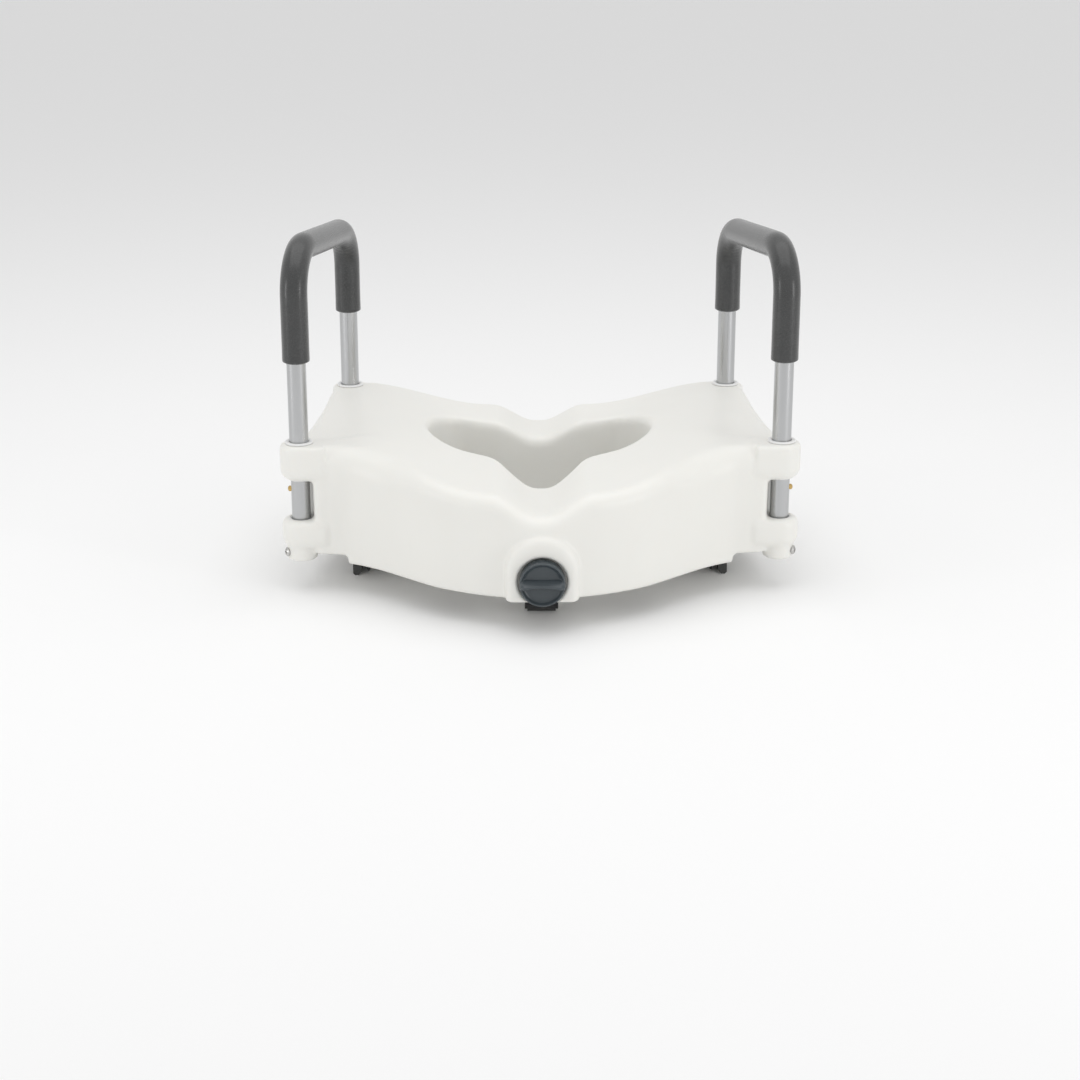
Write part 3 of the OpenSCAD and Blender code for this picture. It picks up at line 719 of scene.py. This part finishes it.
def bossBlock():
    rings = []
    levels = [(10, -125)]
    for k in range(1, 9):
        a = math.radians(90 * k / 8)
        levels.append((8 - 8 * math.sin(a), -125 + 8 - 8 * math.cos(a)))
    levels.append((0, -70))
    for inset, y in levels:
        radius = seatBody["bossRadius"] - inset
        ring = []
        for k in range(33):
            a = math.radians(180 * k / 32)
            ring.append(place(radius * math.cos(a), y, seatBody["bossCentre"] + radius * math.sin(a)))
        ring.append(place(-radius, y, 0.4))
        ring.append(place(radius, y, 0.4))
        rings.append(ring)
    return fromRings("boss", rings)


def softenSeat(piece):
    voxel = seatBody["voxel"] * 1
    remesh = piece.modifiers.new("remesh", "REMESH")
    remesh.mode = "VOXEL"
    remesh.voxel_size = voxel * mm
    remesh.use_smooth_shade = True
    smooth = piece.modifiers.new("smooth", "SMOOTH")
    smooth.factor = 0.5
    smooth.iterations = seatBody["softening"]
    bpy.context.view_layer.update()
    bakeModifiers(piece)


def capsuleCutter(name, x, y, turn, halfLength, radius, low, high):
    rings = []
    for height in (low, high):
        ring = []
        for end in (1, -1):
            for k in range(13):
                a = math.radians(-90 + 180 * k / 12)
                px, py = end * (halfLength + radius * math.cos(a)), end * radius * math.sin(a)
                c, s = math.cos(math.radians(turn)), math.sin(math.radians(turn))
                ring.append(place(x + px * c - py * s, y + px * s + py * c, height))
        rings.append(ring)
    return fromRings(name, rings)


def buildSeat():
    seat = seatCore()
    wings = [
        blockBetween("wing", (seatBody["baseHalf"], -160, -2), (250, 280, seatBody["wingUnderside"]), 3.0),
        blockBetween("wing", (-250, -160, -2), (-seatBody["baseHalf"], 280, seatBody["wingUnderside"]), 3.0),
    ]
    combine(seat, wings, "DIFFERENCE")
    added = [bossBlock()]
    for side in (1, -1):
        added.append(lugBlock("upperLug", side, upperLug))
        added.append(lugBlock("lowerLug", side, lowerLug))
        x, y = legs["rear"]
        radius = seatBody["lugRadius"]
        added.append(turned("rearUpper", [(radius - i, h) for i, h in upperLug], at(side * x, y, 0)))
        added.append(turned("rearLower", [(radius - i, h) for i, h in lowerLug], at(side * x, y, 0)))
        for row in legs:
            x, y = legs[row]
            cup = seatBody["cupRadius"]
            profile = [(cup - 2.5, 1.0), (cup - 0.8, 1.7), (cup, 3.3), (cup, 22)]
            added.append(turned("cup", profile, at(side * x, y, 0)))
    combine(seat, added, "UNION")
    windowLow, windowTop = lowerLug[-1][1], upperLug[0][1]
    windows = [
        blockBetween("window", (186.5, 217, windowLow), (250, 280, windowTop), 4.0),
        blockBetween("window", (-250, 217, windowLow), (-186.5, 280, windowTop), 4.0),
    ]
    combine(seat, windows, "DIFFERENCE")
    softenSeat(seat)
    print("seat body softened:", len(seat.data.polygons), "faces")
    cuts = []
    for side in (1, -1):
        for row in legs:
            x, y = legs[row]
            cuts.append(turned("socket", [(12, 4.1), (12, 49)], at(side * x, y, 0), 64))
            cuts.append(turned("socket", [(12, 83), (12, 130)], at(side * x, y, 0), 64))
            cuts.append(turned("drain", [(3.5, -1), (3.5, 5)], at(side * x, y, 0), 32))
        x, y = legs["rear"]
        aim = Matrix.Rotation(math.radians(9 if side > 0 else 171), 4, "Z")
        outward = aim @ Matrix.Rotation(math.radians(90), 4, "Y")
        screwHead = [(5.4, seatBody["cupRadius"] + 0.05), (5.4, seatBody["cupRadius"] + 14)]
        cuts.append(turned("screwHead", screwHead, at(side * x, y, 9.8, outward), 48))
        near, far = sorted((side * 149.5, side * 194.5))
        cuts.append(blockBetween("plate", (near, 44.5, -2), (far, 110.5, 3.3)))
        cuts.append(turned("vent", [(5, -1), (5, 0.0), (4, 1.2), (4, 12)], at(side * 132, 205, 0), 32))
        cuts.append(capsuleCutter("padSeat", side * 92, -52, side * 38, 22, 7.4, -1, 2))
        cuts.append(capsuleCutter("padSeat", side * 145, 182, 90, 22, 7.4, -1, 2))
    recess = [(24.0, 117), (24.0, 122.0), (24.2, 123.0), (24.8, 124.0), (25.8, 124.7), (27.2, 125.1), (27.4, 131)]
    facing = Matrix.Rotation(math.radians(90), 4, "X")
    cuts.append(turned("bossRecess", recess, at(0, 0, knobCentre, facing)))
    cuts.append(turned("spindleBore", [(5.4, 90), (5.4, 140)], at(0, 0, knobCentre, facing), 48))
    cuts.append(blockBetween("clampPocket", (-17.5, -104, -3), (17.5, -26, knobCentre + 17), 1.5))
    for cut in cuts:
        combine(seat, [cut], "DIFFERENCE")
    shadeSmooth(seat, 38)
    seat.data.materials.clear()
    seat.data.materials.append(seatPlastic)
    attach(seat, "seat")
    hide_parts("seat_shell")
    return seat


buildSeat()
print("seat body ready")


# Arms.

arm = {
    "tubeRadius": 9.525,
    "wall": 1.6,
    "frontCorner": 315.5,
    "rearCorner": 293.5,
    "bend": 42.0,
    "foot": 8.6,
    "foamRadius": 13.7,
    "foamEnd": 204.5,
    "foamRound": 2.2,
    "pinch": 0.28,  # depth of the wrinkles inside each bend
    "holes": (74, 48.5, 30),
}
legSpan = math.hypot(legs["front"][0] - legs["rear"][0], legs["rear"][1] - legs["front"][1])
toe = math.atan2(legs["front"][0] - legs["rear"][0], legs["rear"][1] - legs["front"][1])
barSlope = math.atan2(arm["frontCorner"] - arm["rearCorner"], legSpan)


# Points along an arm in its own plane: [distance back, height, direction, how far round a bend].
def armPath(start, fine):
    bend = arm["bend"]
    frontBend = arm["frontCorner"] - bend * math.tan((math.pi / 2 + barSlope) / 2)
    rearBend = arm["rearCorner"] - bend * math.tan((math.pi / 2 - barSlope) / 2)
    path = []
    straight = max(2, int((frontBend - start) / fine))
    for k in range(straight):
        path.append((0.0, mix(start, frontBend, k / straight), math.pi / 2, 0.0))
    turns = max(8, int(bend * (math.pi / 2 + barSlope) / fine))
    for k in range(turns + 1):
        a = (math.pi / 2 + barSlope) * k / turns
        midBend = math.sin(math.pi * k / turns)
        path.append((bend - bend * math.cos(a), frontBend + bend * math.sin(a), math.pi / 2 - a, midBend))
    y0, z0 = path[-1][0], path[-1][1]
    a = math.pi / 2 - barSlope
    y1, z1 = legSpan - bend + bend * math.cos(a), rearBend + bend * math.sin(a)
    straight = max(2, int(math.hypot(y1 - y0, z1 - z0) / fine))
    for k in range(1, straight):
        path.append((mix(y0, y1, k / straight), mix(z0, z1, k / straight), -barSlope, 0.0))
    turns = max(8, int(bend * a / fine))
    for k in range(turns + 1):
        b = a * (1 - k / turns)
        midBend = math.sin(math.pi * k / turns)
        back = legSpan - bend + bend * math.cos(b)
        path.append((back, rearBend + bend * math.sin(b), b - math.pi / 2, midBend))
    straight = max(2, int((rearBend - start) / fine))
    for k in range(1, straight + 1):
        path.append((legSpan, mix(rearBend, start, k / straight), -math.pi / 2, 0.0))
    return path


def armSpot(side, across, back, height):
    x = legs["front"][0] + across * math.cos(toe) - back * math.sin(toe)
    y = legs["front"][1] + across * math.sin(toe) + back * math.cos(toe)
    return place(side * x, y, height)


def sweepRings(side, path, radii, segments):
    rings = []
    for (back, height, direction, _), radius in zip(path, radii):
        ring = []
        for j in range(segments):
            a = 2 * math.pi * j / segments
            reach = radius[j] if isinstance(radius, list) else radius
            inward = math.sin(a) * reach
            sideways = math.cos(a) * reach
            along = back + inward * math.sin(direction)
            ring.append(armSpot(side, sideways, along, height - inward * math.cos(direction)))
        rings.append(ring)
    return rings


def pathLengths(path):
    total = [0.0]
    for a, b in zip(path, path[1:]):
        total.append(total[-1] + math.hypot(b[0] - a[0], b[1] - a[1]))
    return total


# Foam sleeve: rounded ends that turn in to the bore, a slight swell, and wrinkles inside the bends.
def buildGrip(side, name):
    path = armPath(arm["foamEnd"], 1.3)
    lengths = pathLengths(path)
    total = lengths[-1]
    segments = 56
    radii = []
    for (_, _, _, bend), run in zip(path, lengths):
        end = min(run, total - run)
        lost = 0.0
        if end < arm["foamRound"]:
            lost = arm["foamRound"] - math.sqrt(max(0.0, arm["foamRound"] ** 2 - (arm["foamRound"] - end) ** 2))
        swell = 0.12 * math.sin(run * 0.045) + 0.25 * (1 - ease(2, 16, end))
        ring = []
        for j in range(segments):
            a = 2 * math.pi * j / segments
            inside = max(0.0, math.sin(a)) ** 2
            wrinkle = -arm["pinch"] * inside * bend * (0.5 + 0.5 * math.sin(run * 1.05 + 0.8 * math.sin(run * 0.21)))
            ring.append(min(arm["foamRadius"] - 0.25 - lost + swell * 0.6 + wrinkle, arm["foamRadius"]))
        radii.append(ring)
    outer = sweepRings(side, path, radii, segments)
    inner = sweepRings(side, path, [arm["tubeRadius"] + 0.3] * len(path), segments)
    grip = fromRings(name, outer + inner[::-1], closedLoop=True)
    shadeSmooth(grip, 60)
    grip.data.materials.append(gripFoam)
    return grip


# Bent tube with its open ends and the holes for the snap buttons.
def buildTube(side, name):
    path = armPath(arm["foot"], 3.0)
    lengths = pathLengths(path)
    outside = []
    for run in lengths:
        end = min(run, lengths[-1] - run)
        outside.append(arm["tubeRadius"] - (0.35 if end < 0.2 else 0.0))
    path.insert(1, (0.0, arm["foot"] + 0.5, math.pi / 2, 0.0))
    path.insert(-1, (legSpan, arm["foot"] + 0.5, -math.pi / 2, 0.0))
    outside.insert(1, arm["tubeRadius"])
    outside.insert(-1, arm["tubeRadius"])
    outer = sweepRings(side, path, outside, 72)
    inner = sweepRings(side, path, [arm["tubeRadius"] - arm["wall"]] * len(path), 72)
    tube = fromRings(name, outer + inner[::-1], closedLoop=True)
    cuts = []
    for back in (0.0, legSpan):
        for height in arm["holes"]:
            rings = []
            for across, radius in ((1.0, 2.9), (9.2, 2.9), (9.9, 3.3)):
                ring = []
                for k in range(32):
                    a = 2 * math.pi * k / 32
                    ring.append(armSpot(side, across, back + radius * math.cos(a), height + radius * math.sin(a)))
                rings.append(ring)
            cuts.append(fromRings("hole", rings))
    combine(tube, cuts, "DIFFERENCE")
    shadeSmooth(tube, 35)
    tube.data.materials.clear()
    tube.data.materials.append(tubeAluminium)
    return tube


# Collar that lines the top of a socket, with a rolled flange.
def buildCollar(side, row, name):
    x, y = legs[row]
    inner = arm["tubeRadius"] + 0.08
    profile = [
        (inner + 0.2, 85.0), (11.95, 85.0), (11.95, 122.2), (13.7, 122.25), (14.15, 122.5), (14.2, 123.0),
        (14.0, 123.6), (13.4, 124.1), (12.6, 124.2), (inner + 1.3, 124.2), (inner + 0.6, 123.9),
        (inner + 0.15, 123.2), (inner, 122.3), (inner, 86.0),
    ]
    rings = []
    for j in range(72):
        a = 2 * math.pi * j / 72
        rings.append([at(side * x, y, 0) @ Vector((r * math.cos(a), r * math.sin(a), h)) for r, h in profile])
    collar = fromRings(name, rings, closedLoop=True)
    shadeSmooth(collar, 50)
    collar.data.materials.append(collarPlastic)
    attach(collar, "seat")
    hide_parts(f"bush_{row}_{'right' if side > 0 else 'left'}")


for side, sideName in ((1, "right"), (-1, "left")):
    grip = buildGrip(side, f"foamGrip_{sideName}")
    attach(grip, f"arm_{sideName}")
    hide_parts(f"arm_grip_{sideName}")
    tube = buildTube(side, f"bentTube_{sideName}")
    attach(tube, f"arm_{sideName}")
    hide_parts(f"arm_tube_{sideName}")
    for row in legs:
        buildCollar(side, row, f"collar_{row}_{sideName}")
print("arms ready")


# Lock knob.

knob = {
    "radius": 22.0,
    "back": 117.6,  # forward of the front legs' middle
    "floor": 129.4,
    "rim": 134.0,
    "rimWidth": 1.7,
    "crest": 141.4,
    "voxel": 0.42,
}


def buildKnob():
    radius = knob["radius"]
    facing = at(0, 0, knobCentre, Matrix.Rotation(math.radians(90), 4, "X"))
    inner = radius - knob["rimWidth"]
    back, rim, floor = knob["back"], knob["rim"], knob["floor"]
    profile = [
        (radius - 1.6, back), (radius - 0.5, back + 0.4), (radius, back + 1.4), (radius, rim - 1.3),
        (radius - 0.25, rim - 0.5), (radius - 0.8, rim), (inner, rim - 0.2), (inner - 0.5, rim - 1.0),
        (inner - 1.6, floor + 1.4), (inner - 3.4, floor + 0.3), (inner - 6, floor), (2, floor - 0.3),
    ]
    dial = turned("knob", profile, facing, 128)
    # Finger bar, high at its ends and waisted in the middle, with its upper side sloping forward.
    rings = []
    half = radius - 1.0
    for k in range(41):
        x = mix(-half, half, k / 40)
        waist = 1 - (x / half) ** 2
        crest = mix(knob["crest"], knob["crest"] - 3.4, waist) - 3.6 * ease(half - 4, half, abs(x))
        low, high = -4.6 + 1.4 * waist, 4.6 - 0.5 * waist
        section = [
            (low, floor - 3), (low + 0.5, mix(floor, crest, 0.6)), (low + 0.9, crest - 1.2), (low + 1.6, crest - 0.4),
            (low + 2.6, crest), (low + 3.6, crest - 0.5), (mix(low, high, 0.62), mix(floor, crest, 0.72)),
            (high, mix(floor, crest, 0.16)), (high + 0.6, floor - 3),
        ]
        limit = math.sqrt(max(0.0, radius ** 2 - x ** 2))
        rings.append([facing @ Vector((x, max(-limit, min(limit, z)), y)) for z, y in section])
    bar = fromRings("fingerBar", rings)
    combine(dial, [bar], "UNION")
    remesh = dial.modifiers.new("remesh", "REMESH")
    remesh.mode = "VOXEL"
    remesh.voxel_size = knob["voxel"] * mm * 1
    smooth = dial.modifiers.new("smooth", "SMOOTH")
    smooth.factor = 0.5
    smooth.iterations = 3
    bpy.context.view_layer.update()
    bakeModifiers(dial)
    bore = turned("knobBore", [(5.05, 110), (5.05, 126)], facing, 48)
    combine(dial, [bore], "DIFFERENCE")
    dial.name = "lockKnob"
    shadeSmooth(dial, 45)
    dial.data.materials.clear()
    dial.data.materials.append(knobPlastic)
    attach(dial, "lock")
    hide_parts("lock_knob")


buildKnob()
print("knob ready")


# Pieces that keep their CAD shape, each with its material and how far its edges are broken.

carriedOver = {
    "liner_": (collarPlastic, 0.25),
    "socket_screws": (screwSteel, 0.12),
    "rim_pad_": (softRubber, 0.35),
    "guide_bracket_": (bracketPlastic, 0.35),
    "guide_fin_": (softRubber, 0.25),
    "bracket_screws": (screwSteel, 0.1),
    "thrust_washer": (screwSteel, 0.12),
    "clamp_spindle": (screwSteel, 0.08),
    "retaining_clip": (springSteel, 0.12),
    "clamp_jaw": (bracketPlastic, 0.35),
    "jaw_nut": (brass, 0.2),
    "jaw_pad": (softRubber, 0.3),
    "leg_plug_": (plugPlastic, 0.15),
    "leaf_spring_": (springSteel, 0.1),
    "snap_button_": (brass, 0.12),
}


def finishCarriedOver():
    for name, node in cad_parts.items():
        for start, (material, edge) in carriedOver.items():
            if name.startswith(start):
                node.data.materials.clear()
                node.data.materials.append(material)
                bevel = node.modifiers.new("brokenEdges", "BEVEL")
                bevel.width = edge * mm
                bevel.segments = 2
                bevel.limit_method = "ANGLE"
                bevel.angle_limit = math.radians(40)
                bevel.harden_normals = False


finishCarriedOver()
print("carried-over pieces finished")
